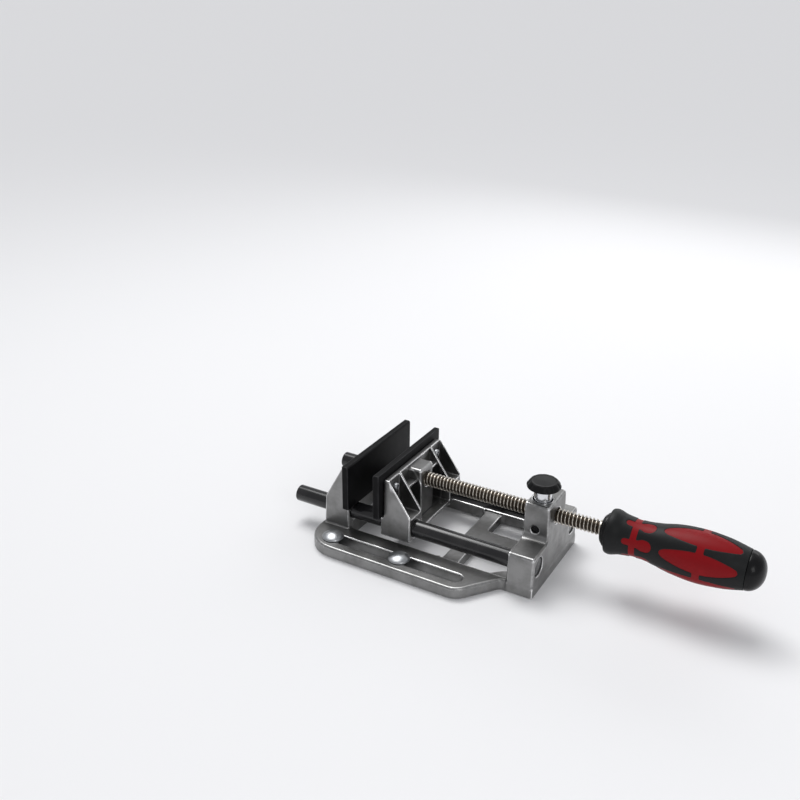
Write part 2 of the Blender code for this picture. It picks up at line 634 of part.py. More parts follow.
def add_carrier(material, parent):
    """Stem over a square frame that the screw passes through; side grooves clear the stop pins."""
    frame = block(-CARRIER_HALF_X, CARRIER_HALF_X, -CARRIER_HALF_Y, CARRIER_HALF_Y, CARRIER_BOTTOM, CARRIER_TOP)
    carrier = add_object("release_carrier", frame, material, parent)
    bevel = 0.5 * MM
    stem = turned([(STEM_BOTTOM, 0), (STEM_BOTTOM, STEM_RADIUS), (STEM_TOP - bevel, STEM_RADIUS),
                   (STEM_TOP, STEM_RADIUS - bevel), (STEM_TOP, 0)], "Z", FINE, centre=(0, STEM_Y))
    combine(carrier, "UNION", [stem])
    wide = CARRIER_HALF_X + 1 * MM
    window_top = SCREW_Z + SCREW_RADIUS + RELEASE_TRAVEL + GAP
    window = block(-wide, wide, -ARM_INNER_Y, ARM_INNER_Y, WINDOW_BOTTOM, window_top)
    reach = STOP_PIN_RADIUS + GAP
    low, high = STOP_PIN_Z - reach, STOP_PIN_Z + reach + RELEASE_TRAVEL
    groove = STOP_PIN_INNER - 0.5 * MM
    grooves = mirrored(lambda side: block(-reach, reach, *span(side, groove, 14 * MM), low, high))
    combine(carrier, "DIFFERENCE", [window] + grooves)


def add_half_nut(material, parent):
    """Block in the bottom of the frame with a half-round bed for the screw."""
    bed_edge = SCREW_Z - 1 * MM
    half_width = ARM_INNER_Y - GAP
    body = block(-CARRIER_HALF_X, CARRIER_HALF_X, -half_width, half_width, WINDOW_BOTTOM + GAP, bed_edge)
    nut = add_object("half_nut", body, material, parent)
    bed = solid(bore(0, SCREW_Z, SCREW_RADIUS, MEDIUM), "X", (-8 * MM, 0), (8 * MM, 0))
    combine(nut, "DIFFERENCE", [bed])


def add_release_spring(material, parent):
    """Helix of round wire: the point goes round at a steady radius while it climbs at a steady rate."""
    curve = bpy.data.curves.new("release_spring", "CURVE")
    curve.dimensions = "3D"
    curve.bevel_depth = SPRING_WIRE
    curve.bevel_resolution = 1
    curve.use_fill_caps = True
    per_turn = 12
    count = SPRING_TURNS * per_turn + 1
    low = SEAT_RECESS + GAP + SPRING_WIRE
    high = CARRIER_BOTTOM - GAP - SPRING_WIRE
    spline = curve.splines.new("POLY")
    spline.points.add(count - 1)
    for index, point in enumerate(spline.points):
        angle = 2 * math.pi * index / per_turn
        height = low + (high - low) * index / (count - 1)
        point.co = (SPRING_RADIUS * math.cos(angle), SPRING_RADIUS * math.sin(angle), height, 1)
    curve.materials.append(material)
    spring = bpy.data.objects.new("release_spring", curve)
    bpy.context.scene.collection.objects.link(spring)
    spring.parent = parent


def add_stop_pins(material):
    """Two short pins, sunk in the tower's sides, that end in the carrier's grooves."""
    for place, side in SIDES.items():
        inner, outer = side * STOP_PIN_INNER, side * STOP_PIN_OUTER
        profile = [(inner, 0), (inner, STOP_PIN_RADIUS), (outer, STOP_PIN_RADIUS), (outer, 0)]
        add_object(f"carrier_stop_pin_{place}", turned(profile, "Y", COARSE), material,
                   location=(RELEASE_X, 0, STOP_PIN_Z))


def add_spring_seat(plate_material, screw_material):
    """Plate let into the block's underside, and the two screws that hold it."""
    mid = RELEASE_X
    body = block(mid - SEAT_PLATE_HALF_X, mid + SEAT_PLATE_HALF_X, -SEAT_PLATE_HALF_Y, SEAT_PLATE_HALF_Y,
                 0.4 * MM, SEAT_RECESS - GAP)
    plate = add_object("spring_seat_plate", body, plate_material)
    sink = [(0, 0), (0, 3.4 * MM), (2 * MM, 1.9 * MM), (4 * MM, 1.9 * MM), (4 * MM, 0)]
    holes = mirrored(lambda side: turned(sink, "Z", COARSE, centre=(mid, side * SEAT_SCREW_Y)))
    combine(plate, "DIFFERENCE", holes)
    profile = [(0.4 * MM, 0), (0.4 * MM, 2.6 * MM), (1.6 * MM, 1.5 * MM), (8.5 * MM, 1.5 * MM), (8.5 * MM, 0)]
    for place, side in SIDES.items():
        add_object(f"spring_seat_screw_{place}", turned(profile, "Z", COARSE), screw_material,
                   location=(mid, side * SEAT_SCREW_Y, 0))


# ---- Hold-down bolts ----

def add_bolt(name, material, x, side):
    """Low domed head over a square neck that keeps the bolt from turning in the slot."""
    head = [(GAP, 0), (GAP, BOLT_HEAD_RADIUS - 0.4 * MM), (1 * MM, BOLT_HEAD_RADIUS)]
    for step in range(1, 5):
        angle = math.pi / 2 * step / 4
        head.append((1 * MM + (BOLT_HEAD_HEIGHT - 1 * MM) * math.sin(angle),
                     BOLT_HEAD_RADIUS * math.cos(angle) if step < 4 else 0))
    bolt = add_object(name, turned(head, "Z", MEDIUM), material, location=(x, side * SLOT_Y, WING_HEIGHT))
    neck = block(-BOLT_RADIUS, BOLT_RADIUS, -BOLT_RADIUS, BOLT_RADIUS, -BOLT_NECK_DEPTH, 1 * MM)
    low = 0.5 * MM - WING_HEIGHT
    shank = turned([(low, 0), (low, BOLT_RADIUS - 0.6 * MM), (low + 0.6 * MM, BOLT_RADIUS),
                    (0, BOLT_RADIUS), (0, 0)], "Z", COARSE)
    combine(bolt, "UNION", [neck, shank])


def main():
    clear_scene()
    casting = make_material("cast_aluminium", (0.48, 0.49, 0.51), 0.4, 1.0)
    hard_black = make_material("blackened_steel", (0.025, 0.026, 0.03), 0.45, 0.6)
    rod_black = make_material("oiled_black_rod", (0.03, 0.03, 0.035), 0.22, 0.8)
    steel = make_material("bright_steel", (0.62, 0.6, 0.56), 0.28, 1.0)
    chrome = make_material("chrome", (0.8, 0.81, 0.83), 0.1, 1.0)
    zinc = make_material("zinc_plate", (0.68, 0.7, 0.71), 0.25, 1.0)
    bronze = make_material("nut_bronze", (0.52, 0.36, 0.16), 0.35, 1.0)
    button_black = make_material("button_plastic", (0.02, 0.02, 0.022), 0.3, 0.0)
    grip_black = make_material("grip_rubber", (0.02, 0.021, 0.022), 0.55, 0.0)
    core_red = make_material("core_red", (0.4, 0.02, 0.025), 0.45, 0.0)

    add_base_casting(casting)
    add_guide_rod("guide_rod_near", rod_black, -1)
    add_guide_rod("guide_rod_far", rod_black, 1)
    add_jaw_plate("fixed_jaw_plate", hard_black, 1, None, FIXED_SEAT_X)
    add_jaw_screws("fixed", zinc, 1, None, FIXED_SEAT_X)
    add_stop_pins(steel)
    add_spring_seat(steel, zinc)

    jaw = add_frame("moving_jaw_frame", (MOVING_SEAT_X, 0, 0))
    add_moving_jaw_casting(casting, jaw)
    add_jaw_plate("moving_jaw_plate", hard_black, -1, jaw)
    add_jaw_screws("moving", zinc, -1, jaw)
    add_keeper_pins(steel, jaw)
    add_thrust_washer(steel, jaw)

    screw_axis = add_frame("screw_axis", (0, 0, SCREW_Z))
    add_spindle(steel, screw_axis)
    add_ferrule(button_black, screw_axis)
    add_core(core_red, screw_axis)
    add_sleeve(grip_black, screw_axis)
    add_end_cap(button_black, screw_axis)

    release_axis = add_frame("release_axis", (RELEASE_X, 0, 0))
    add_button(button_black, release_axis)
    add_carrier(chrome, release_axis)
    add_half_nut(bronze, release_axis)
    add_release_spring(steel, release_axis)

    for place, x in BOLT_X.items():
        add_bolt(f"hold_down_bolt_near_{place}", zinc, x, -1)
        add_bolt(f"hold_down_bolt_far_{place}", zinc, x, 1)


main()
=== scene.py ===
import math

import bpy
import numpy as np
from mathutils import Matrix, Vector


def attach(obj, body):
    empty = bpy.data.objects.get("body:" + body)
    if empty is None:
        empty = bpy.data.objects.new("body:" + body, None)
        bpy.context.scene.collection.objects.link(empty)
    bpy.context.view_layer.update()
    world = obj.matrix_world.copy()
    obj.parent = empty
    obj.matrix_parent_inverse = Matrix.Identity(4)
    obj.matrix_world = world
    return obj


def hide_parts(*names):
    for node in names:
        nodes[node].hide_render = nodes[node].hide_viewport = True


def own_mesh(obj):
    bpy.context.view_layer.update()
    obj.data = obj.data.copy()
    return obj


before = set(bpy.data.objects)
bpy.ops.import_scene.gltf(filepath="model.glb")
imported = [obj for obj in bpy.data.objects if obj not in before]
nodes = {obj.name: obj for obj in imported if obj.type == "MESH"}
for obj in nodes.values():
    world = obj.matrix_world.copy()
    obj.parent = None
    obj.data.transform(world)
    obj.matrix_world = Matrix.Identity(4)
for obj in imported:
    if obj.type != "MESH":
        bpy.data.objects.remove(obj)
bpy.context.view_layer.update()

mm = 0.001


# --- Materials: every finish is painted with nodes on object coordinates ---

class Wire:
    # One value in a material's tree; arithmetic on it adds the math nodes.
    def __init__(self, tree, socket=None):
        self.tree, self.socket = tree, socket

    def add(self, kind, settings, inputs, output=0):
        # Settings first, because some of them change the node's sockets.
        node = self.tree.nodes.new("ShaderNode" + kind)
        for key, value in settings.items():
            setattr(node, key, value)
        for key, value in inputs.items():
            if isinstance(value, Wire):
                self.tree.links.new(value.socket, node.inputs[key])
            else:
                node.inputs[key].default_value = value
        return Wire(self.tree, node.outputs[output])

    def math(self, operation, first, second=0.0):
        return self.add("Math", {"operation": operation}, {0: first, 1: second})

    def __add__(self, other): return self.math("ADD", self, other)
    def __sub__(self, other): return self.math("SUBTRACT", self, other)
    def __rsub__(self, other): return self.math("SUBTRACT", other, self)
    def __mul__(self, other): return self.math("MULTIPLY", self, other)
    def __truediv__(self, other): return self.math("DIVIDE", self, other)
    __radd__, __rmul__ = __add__, __mul__

    def between(self, low, high):
        # 0 below low, 1 above high, eased in between
        return self.add("MapRange", {"interpolation_type": "SMOOTHSTEP"}, {0: self, 1: low, 2: high})

    def stretched(self, factors):
        return self.add("VectorMath", {"operation": "MULTIPLY"}, {0: self, 1: factors})

    def noise(self, scale, detail=3.0, roughness=0.55):
        return self.add("TexNoise", {}, {"Vector": self, "Scale": scale, "Detail": detail,
                                         "Roughness": roughness})

    def blend(self, first, second):
        # the first colour where this value is 0, the second where it is 1
        return self.add("Mix", {"data_type": "RGBA"}, {0: self, 6: first, 7: second}, 2)

    def stored(self, name):
        return self.add("Attribute", {"attribute_name": name}, {}, "Fac")

    def bumped(self, strength, distance):
        return self.add("Bump", {}, {"Strength": strength, "Distance": distance, "Height": self})


def newFinish(name, constants, paint):
    # Constants go on the shader's sockets; paint returns the sockets that vary.
    material = bpy.data.materials.new(name)
    material.use_nodes = True
    tree = material.node_tree
    shader = tree.nodes["Principled BSDF"]
    for key, value in constants.items():
        shader.inputs[key].default_value = value
    place = Wire(tree).add("TexCoord", {}, {}, "Object")
    for key, wire in paint(place).items():
        tree.links.new(wire.socket, shader.inputs[key])
    return material


def rgb(red, green, blue):
    return (red, green, blue, 1.0)


# The darkest colour here is painted shade for corners, the brightest a painted highlight for edges.
castLook = {"cornerShade": rgb(0.075, 0.075, 0.074), "plain": rgb(0.275, 0.274, 0.272), "edgeHighlight": rgb(0.8, 0.8, 0.8),
            "stain": rgb(0.17, 0.169, 0.166), "grain": 2600.0, "cloud": 55.0}


def paintCasting(place):
    # Die-cast skin: painted highlight on the ridges, painted shade in the corners, with faint cloudy stains.
    edge = place.stored("edge")
    grain, cloud = place.noise(castLook["grain"], 2.0), place.noise(castLook["cloud"], 5.0, 0.6)
    fine = place.noise(castLook["cloud"] * 9, 4.0, 0.7)
    # Painted highlight: brighter colour where the surface bends outward, on ridges and rounded edges.
    edgeHighlight = (edge + (fine - 0.5) * 0.25).between(0.12, 0.55)
    # Painted shade: darker colour where the surface bends inward, in corners and creases.
    cornerShade = (0.0 - edge).between(0.1, 0.7)
    colour = cloud.between(0.35, 0.75).blend(castLook["plain"], castLook["stain"])
    colour = cornerShade.blend(colour, castLook["cornerShade"])
    colour = edgeHighlight.blend(colour, castLook["edgeHighlight"])
    rough = 0.36 + (cloud - 0.5) * 0.22 + (fine - 0.5) * 0.16 - edgeHighlight * 0.12 + cornerShade * 0.15
    return {"Base Color": colour, "Roughness": rough,
            "Normal": (grain * 0.5 + fine * 0.7).bumped(0.16, 0.05 * mm)}


def paintBlackened(place):
    # Blackened plate: fine ground lines across, rubbed grey at the edges, with a light dusting.
    lines = place.stretched((1.0, 0.12, 1.0)).noise(2200.0, 3.0)
    dust = place.noise(140.0, 6.0, 0.65)
    rub = (place.stored("edge") + (dust - 0.5) * 0.5).between(0.25, 0.75)
    colour = dust.between(0.45, 0.85).blend(rgb(0.005, 0.005, 0.0055), rgb(0.011, 0.011, 0.012))
    colour = rub.blend(colour, rgb(0.05, 0.05, 0.053))
    return {"Base Color": colour, "Roughness": 0.46 + (dust - 0.5) * 0.25 - rub * 0.12,
            "Normal": lines.bumped(0.12, 0.04 * mm)}


def paintRod(place):
    # Oiled black rod: long draw marks, wiped patches.
    marks = place.stretched((0.03, 1.0, 1.0)).noise(3000.0, 2.0)
    wiped = place.stretched((1.0, 0.5, 0.5)).noise(60.0, 4.0)
    colour = wiped.between(0.4, 0.8).blend(rgb(0.008, 0.008, 0.009), rgb(0.020, 0.019, 0.020))
    return {"Base Color": colour, "Roughness": 0.2 + (wiped - 0.5) * 0.2 + marks * 0.05,
            "Normal": marks.bumped(0.05, 0.03 * mm)}


def paintScrew(place):
    # Bright rolled thread: polished crests, roots darkened as painted shade in an oily brown.
    depth = place.stored("depth")
    oil, streak = place.noise(300.0, 4.0), place.stretched((6.0, 1.0, 1.0)).noise(700.0, 3.0)
    # Painted shade: the thread roots are darkened where the groove is deep.
    rootShade = (depth + (oil - 0.5) * 0.3).between(0.25, 0.85)
    colour = oil.between(0.35, 0.7).blend(rgb(0.62, 0.58, 0.52), rgb(0.46, 0.42, 0.36))
    colour = rootShade.blend(colour, rgb(0.05, 0.038, 0.028))
    return {"Base Color": colour, "Roughness": 0.2 + oil * 0.14 + rootShade * 0.22,
            "Normal": streak.bumped(0.08, 0.03 * mm)}


def paintPlated(low, high, base):
    # Plated metal in a given base roughness: soft colour drift and hairline scratches.
    def paint(place):
        drift, hair = place.noise(190.0, 4.0), place.stretched((1.0, 14.0, 1.0)).noise(500.0, 2.0)
        colour = drift.between(0.3, 0.75).blend(low, high)
        return {"Base Color": colour, "Roughness": base + (drift - 0.4) * 0.18 + hair.between(0.62, 0.7) * 0.12,
                "Normal": hair.bumped(0.05, 0.02 * mm)}
    return paint


def paintPlastic(low, high, base, scale):
    # Moulded plastic or rubber: fine spark texture, scuffs that lighten it.
    def paint(place):
        spark, scuff = place.noise(scale, 2.0), place.noise(120.0, 6.0, 0.7)
        colour = scuff.between(0.5, 0.85).blend(low, high)
        return {"Base Color": colour, "Roughness": base + (scuff - 0.5) * 0.2 + (spark - 0.5) * 0.1,
                "Normal": spark.bumped(0.14, 0.04 * mm)}
    return paint


finishes = {
    "casting": newFinish("castAluminium", {"Metallic": 1.0}, paintCasting),
    "plate": newFinish("blackenedPlate", {"Specular IOR Level": 0.1}, paintBlackened),
    "rod": newFinish("oiledRod", {"Specular IOR Level": 0.3, "Coat Weight": 0.4, "Coat Roughness": 0.06}, paintRod),
    "screw": newFinish("brightScrew", {"Metallic": 1.0}, paintScrew),
    "steel": newFinish("plainSteel", {"Metallic": 1.0},
                       paintPlated(rgb(0.5, 0.49, 0.47), rgb(0.62, 0.61, 0.58), 0.3)),
    "chrome": newFinish("chromeStem", {"Metallic": 1.0},
                        paintPlated(rgb(0.72, 0.73, 0.75), rgb(0.82, 0.83, 0.85), 0.13)),
    "zinc": newFinish("zincPlate", {"Metallic": 1.0},
                      paintPlated(rgb(0.36, 0.375, 0.39), rgb(0.54, 0.55, 0.56), 0.33)),
    "bronze": newFinish("nutBronze", {"Metallic": 1.0},
                        paintPlated(rgb(0.45, 0.29, 0.12), rgb(0.6, 0.42, 0.2), 0.36)),
    "button": newFinish("buttonPlastic", {"Specular IOR Level": 0.18},
                        paintPlastic(rgb(0.005, 0.005, 0.0055), rgb(0.013, 0.013, 0.014), 0.4, 1500.0)),
    "grip": newFinish("gripRubber", {"Specular IOR Level": 0.25},
                      paintPlastic(rgb(0.005, 0.0055, 0.006), rgb(0.012, 0.013, 0.014), 0.48, 2200.0)),
    "core": newFinish("coreRed", {"Specular IOR Level": 0.15},
                      paintPlastic(rgb(0.23, 0.003, 0.006), rgb(0.29, 0.005, 0.009), 0.42, 1200.0)),
    "cap": newFinish("capPlastic", {"Specular IOR Level": 0.16, "Coat Weight": 0.1, "Coat Roughness": 0.08},
                     paintPlastic(rgb(0.004, 0.004, 0.0045), rgb(0.009, 0.009, 0.010), 0.3, 1800.0)),
}
print("finishes made:", len(finishes))


# --- Meshes from whole arrays ---

def addPiece(name, points, faces, finish, body, stands=(), stored=None, normals=None):
    # Points in millimetres, faces as rows of three or four corners; a repeated last corner is a triangle.
    mesh = bpy.data.meshes.new(name)
    rows = [row[:3] if row[2] == row[3] else row for row in faces.tolist()]
    mesh.from_pydata((np.asarray(points, float) * mm).tolist(), [], rows)
    for key, values in (stored or {}).items():
        mesh.attributes.new(key, "FLOAT", "POINT").data.foreach_set("value", values.astype(np.float32))
    mesh.materials.append(finishes[finish])
    mesh.shade_smooth()
    if normals is not None:
        mesh.normals_split_custom_set_from_vertices(normals.tolist())
    thing = bpy.data.objects.new(name, mesh)
    bpy.context.scene.collection.objects.link(thing)
    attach(thing, body)
    for node in stands:
        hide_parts(node)
    print(name, len(rows), "faces")
    return thing


def onAxis(axis, centre, height, radius, angle):
    # A point goes round the axis at a radius; angle 0 is the next axis in X, Y, Z order.
    first, second = radius * np.cos(angle), radius * np.sin(angle)
    order = {"X": (height, first, second), "Y": (second, height, first), "Z": (first, second, height)}[axis]
    return np.stack([part + shift for part, shift in zip(np.broadcast_arrays(*order), centre)], -1)


def gridFaces(rings, around):
    # Quads of a tube of rings, and a fan to a pole at each end; poles are the last two points.
    ring, step = np.meshgrid(np.arange(rings - 1), np.arange(around), indexing="ij")
    after = (step + 1) % around
    quads = np.stack([ring * around + step, ring * around + after,
                      (ring + 1) * around + after, (ring + 1) * around + step], -1).reshape(-1, 4)
    step = np.arange(around)
    after, last, low, high = (step + 1) % around, (rings - 1) * around, rings * around, rings * around + 1
    first = np.stack([step * 0 + low, after, step, step], -1)
    final = np.stack([step * 0 + high, last + step, last + after, last + after], -1)
    return np.concatenate([quads, first, final])


def turnedGrid(axis, centre, heights, radii, around):
    # A tube whose radius may change with height and angle, closed by a pole at each end.
    angle = np.linspace(0, 2 * np.pi, around, endpoint=False)
    radii = np.broadcast_to(radii if np.ndim(radii) == 2 else np.reshape(radii, (-1, 1)), (len(heights), around))
    tube = onAxis(axis, centre, np.reshape(heights, (-1, 1)), radii, angle).reshape(-1, 3)
    poles = onAxis(axis, centre, np.array([heights[0], heights[-1]]), np.zeros(2), np.zeros(2))
    faces = gridFaces(len(heights), around)
    return np.concatenate([tube, poles]), faces


def roundedProfile(corners, steps=5):
    # Path through (height, radius, rounding) points, each corner replaced by a small curve:
    # the point slides from the corner's one side to the other as (1-t)^2 a + 2t(1-t) c + t^2 b.
    places = np.array([corner[:2] for corner in corners], float)
    path = [places[0]]
    for before, here, after, (_, _, size) in zip(places, places[1:], places[2:], corners[1:-1]):
        if size == 0:
            path.append(here)
            continue
        back = here + (before - here) * min(size / np.linalg.norm(before - here), 0.49)
        ahead = here + (after - here) * min(size / np.linalg.norm(after - here), 0.49)
        for t in np.linspace(0, 1, steps):
            path.append((1 - t) ** 2 * back + 2 * t * (1 - t) * here + t ** 2 * ahead)
    path.append(places[-1])
    return np.array(path)


def addTurned(name, axis, centre, corners, around, finish, body, stands=(), steps=5, stored=None):
    path = roundedProfile(corners, steps)
    points, faces = turnedGrid(axis, centre, path[:, 0], np.maximum(path[:, 1], 1e-3), around)
    return addPiece(name, points, faces, finish, body, stands, stored)


# --- Distance fields: negative inside, in millimetres; rounded joins keep edges like a casting's ---

def arcCorners(corners, steps=8):
    # Outline through (u, v, radius) corners, each turned through an arc of that radius.
    outline = []
    count = len(corners)
    for index, (u, v, radius) in enumerate(corners):
        here = np.array([u, v], float)
        if radius == 0:
            outline.append(here)
            continue
        back = np.array(corners[index - 1][:2]) - here
        ahead = np.array(corners[(index + 1) % count][:2]) - here
        back, ahead = back / np.linalg.norm(back), ahead / np.linalg.norm(ahead)
        half = math.acos(np.clip(back @ ahead, -1, 1)) / 2
        middle = back + ahead
        centre = here + middle / np.linalg.norm(middle) * radius / math.sin(half)
        first, last = (here + way * radius / math.tan(half) - centre for way in (back, ahead))
        start = math.atan2(first[1], first[0])
        sweep = math.remainder(math.atan2(last[1], last[0]) - start, 2 * math.pi)
        for angle in start + sweep * np.linspace(0, 1, steps + 1):
            outline.append(centre + radius * np.array([math.cos(angle), math.sin(angle)]))
    return np.array(outline)


def inOutline(outline, u, v):
    # Distance to the nearest side of the outline; the sign flips at each side that a ray crosses.
    u, v = np.broadcast_arrays(u, v)
    nearest, inside = np.full(u.shape, np.inf), np.zeros(u.shape, bool)
    for (au, av), (bu, bv) in zip(outline, np.roll(outline, -1, axis=0)):
        du, dv = bu - au, bv - av
        share = np.clip(((u - au) * du + (v - av) * dv) / (du * du + dv * dv), 0, 1)
        nearest = np.minimum(nearest, (u - au - share * du) ** 2 + (v - av - share * dv) ** 2)
        if dv:
            inside ^= ((av > v) != (bv > v)) & (u < du * (v - av) / dv + au)
    return np.where(inside, -1, 1) * np.sqrt(nearest)


def join(first, second, radius):
    # Union with a fillet of that radius in the corner between the two.
    if not radius:
        return np.minimum(first, second)
    a, b = np.maximum(radius - first, 0), np.maximum(radius - second, 0)
    return np.maximum(radius, np.minimum(first, second)) - np.sqrt(a * a + b * b)


def meet(first, second, radius):
    # Intersection with its edge rounded to that radius.
    if not radius:
        return np.maximum(first, second)
    a, b = np.maximum(radius + first, 0), np.maximum(radius + second, 0)
    return np.minimum(-radius, np.maximum(first, second)) + np.sqrt(a * a + b * b)


def cut(solid, tool, radius):
    return meet(solid, -tool, radius)


def slab(value, low, high):
    return np.maximum(low - value, value - high)


def boxField(x, y, z, lows, highs, radius):
    # Box with its edges rounded: distance to the box shrunk by the radius, less the radius.
    gaps = [np.maximum(low + radius - value, value - high + radius)
            for value, low, high in zip((x, y, z), lows, highs)]
    outside = np.sqrt(sum(np.maximum(gap, 0) ** 2 for gap in gaps))
    return outside + np.minimum(np.maximum(np.maximum(gaps[0], gaps[1]), gaps[2]), 0) - radius


def rod(u, v, centreU, centreV, radius):
    return np.sqrt((u - centreU) ** 2 + (v - centreV) ** 2) - radius


def spacedLines(low, high, coarse, fine, marks, reach=2.5):
    # Grid lines that crowd near the marks: step = coarse - (coarse - fine) exp(-(distance / reach)^2).
    place = np.linspace(low, high, 6001)
    near = np.min(np.abs(place[:, None] - np.array(marks)[None, :]), axis=1)
    density = 1 / (coarse - (coarse - fine) * np.exp(-(near / reach) ** 2))
    total = np.concatenate([[0], np.cumsum((density[1:] + density[:-1]) / 2 * np.diff(place))])
    return np.interp(np.linspace(0, total[-1], int(math.ceil(total[-1])) + 1), total, place)


def slope(field, points, step):
    # Gradient and bend from four samples at the corners of a small tetrahedron.
    ways = np.array([(1, -1, -1), (-1, -1, 1), (-1, 1, -1), (1, 1, 1)], float)
    samples = [field(*(points + way * step).T) for way in ways]
    gradient = sum(sample[:, None] * way for sample, way in zip(samples, ways)) / (4 * step)
    return gradient, sum(samples)


def netOf(field, lines):
    # Surface net: one point in each grid cell the surface crosses, one quad round each crossed grid edge.
    x, y, z = lines
    values = field(x[:, None, None], y[None, :, None], z[None, None, :])
    inside = values < 0
    shape = np.array(values.shape)
    cells, sums, quads = [], [], []
    for axis in range(3):
        low = [slice(None)] * 3
        high = [slice(None)] * 3
        low[axis], high[axis] = slice(None, -1), slice(1, None)
        crossed = np.argwhere(inside[tuple(low)] != inside[tuple(high)])
        beyond = crossed.copy()
        beyond[:, axis] += 1
        start, end = values[tuple(crossed.T)], values[tuple(beyond.T)]
        share = start / (start - end)
        place = np.stack([line[index] for line, index in zip(lines, crossed.T)], -1)
        place[:, axis] += share * (lines[axis][beyond[:, axis]] - place[:, axis])
        one, two = (axis + 1) % 3, (axis + 2) % 3
        ring = []
        for shiftOne, shiftTwo in ((-1, -1), (0, -1), (0, 0), (-1, 0)):
            cell = crossed.copy()
            cell[:, one] += shiftOne
            cell[:, two] += shiftTwo
            ring.append(np.ravel_multi_index(cell.T, shape))
        ring = np.stack(ring, -1)
        quads.append(np.where((start < 0)[:, None], ring, ring[:, ::-1]))
        cells.append(ring.ravel())
        sums.append(np.repeat(place, 4, axis=0))
    kept, index = np.unique(np.concatenate(cells), return_inverse=True)
    sums = np.concatenate(sums)
    counts = np.bincount(index)
    points = np.stack([np.bincount(index, sums[:, axis]) / counts for axis in range(3)], -1)
    return points, np.searchsorted(kept, np.concatenate(quads))


def addCarved(name, field, lines, finish, body, stands, edgeScale=0.5):
    # Net of the field, its points pulled onto the surface, with normals and the surface bend read from it; the bend
    # drives painted edge highlights and corner shade on castings, and rubbed edges on plates.
    points, faces = netOf(field, lines)
    for _ in range(3):
        gradient, _unused = slope(field, points, 0.05)
        size = np.maximum((gradient ** 2).sum(1), 0.3)
        move = -(field(*points.T) / size)[:, None] * gradient
        length = np.linalg.norm(move, axis=1, keepdims=True)
        points += move * np.minimum(1, 0.35 / np.maximum(length, 1e-9))
    gradient, _unused = slope(field, points, 0.05)
    normals = gradient / np.maximum(np.linalg.norm(gradient, axis=1, keepdims=True), 1e-9)
    _unused, samples = slope(field, points, edgeScale)
    bend = (samples - 4 * field(*points.T)) / (2 * edgeScale ** 2) * edgeScale
    return addPiece(name, points, faces, finish, body, stands, {"edge": bend}, normals)


# --- Base casting ---

base = {
    "plan": [(-118.3, -76.5, 27.3), (23.1, -76.5, 15), (46.6, -45.9, 5), (72.2, -45.9, 0),
             (72.2, 45.9, 0), (46.6, 45.9, 5), (23.1, 76.5, 15), (-118.3, 76.5, 27.3)],
    "throat": [(-92.4, -42, 5), (-7.2, -42, 5), (-7.2, 42, 5), (-92.4, 42, 5)],
    "window": [(7.2, 14, 3), (51.0, 14, 0), (51.0, 25, 0), (37.2, 36.3, 5), (31.5, 42, 6), (7.2, 42, 4)],
    "slot": [(-102.5, 56.2, 5.45), (21, 56.2, 5.45), (21, 67.2, 5.45), (-102.5, 67.2, 5.45)],
    "block": [(46, 0, 0), (45.7, 35.2, 2.4), (17.8, 35.2, 5), (17.5, 64.65, 2.2), (-17.5, 64.65, 2.2),
              (-17.8, 35.2, 5), (-45.7, 35.2, 2.4), (-46, 0, 0)],
    "jaw": [(-116.2, 1, 0), (-92, 1, 0), (-92, 31.2, 0.6), (-94.3, 31.2, 0), (-94.3, 65, 0.8),
            (-98.8, 65, 2.5), (-114.8, 35, 5)],
    "wing": 10, "web": 8, "edge": 2.3,
}


def baseField(x, y, z):
    side = np.abs(y)
    outlines = {key: arcCorners(base[key]) for key in ("plan", "throat", "window", "slot", "block", "jaw")}
    body = meet(inOutline(outlines["plan"], x, y), z - base["wing"], base["edge"])
    body = cut(body, boxField(x, y, z, (-8.2, -42, base["web"]), (52, 42, 14), 1.2), 0.9)
    block = meet(inOutline(outlines["block"], y, z), 50.8 - x, 1.2)
    block = meet(block, x - 72.3 + np.maximum(z - 36, 0) * 0.045, 2.0)
    body = join(body, block, 1.5)
    jaw = meet(inOutline(outlines["jaw"], x, z), side - 45.0 + np.maximum(z - 20, 0) * 0.02, 1.4)
    body = join(body, jaw, 1.5)
    body = cut(body, inOutline(outlines["throat"], x, y) + np.maximum(z - 14, 0) * 3, 1.0)
    body = cut(body, inOutline(outlines["window"], x, side) + np.maximum(z - 14, 0) * 3, 1.0)
    body = cut(body, inOutline(outlines["slot"], x, side), 1.2)
    body = cut(body, boxField(x, y, z, (-140, -24.9, 12), (-98.8, 24.9, 90), 2), 0.7)
    body = cut(body, boxField(x, side, z, (-140, 27.1, 34.8), (-98.8, 42.8, 90), 2), 0.7)
    body = meet(body, 0.02 - z, 0.5)
    body = cut(body, np.maximum(rod(side, z, 35.3, 23.65, 7.35), slab(x, -130, -80)), 0.5)
    body = cut(body, np.maximum(rod(side, z, 35.3, 23.65, 7.35), 45 - x), 0.4)
    body = cut(body, np.maximum(rod(side, z, 35.3, 23.65, 8.0), 70.2 - x), 0.25)
    body = cut(body, np.maximum(rod(side, z, 34, 56, 2.85), slab(x, -120, -80)), 0.3)
    body = cut(body, np.maximum(rod(y, z, 0, 50.16, 6.55), 40 - x), 0.5)
    body = cut(body, np.maximum(rod(x, y, 60.3, -5, 7.9), 55 - z), 0.5)
    body = cut(body, np.maximum(rod(x, z, 60.3, 43, 3.3), 12 - side), 0.9)
    body = cut(body, boxField(x, y, z, (53.9, -13.4, -5), (66.7, 13.4, 62.9), 0.3), 0.2)
    return cut(body, boxField(x, y, z, (52.8, -20.3, -5), (67.8, 20.3, 3.3), 0.3), 0.2)


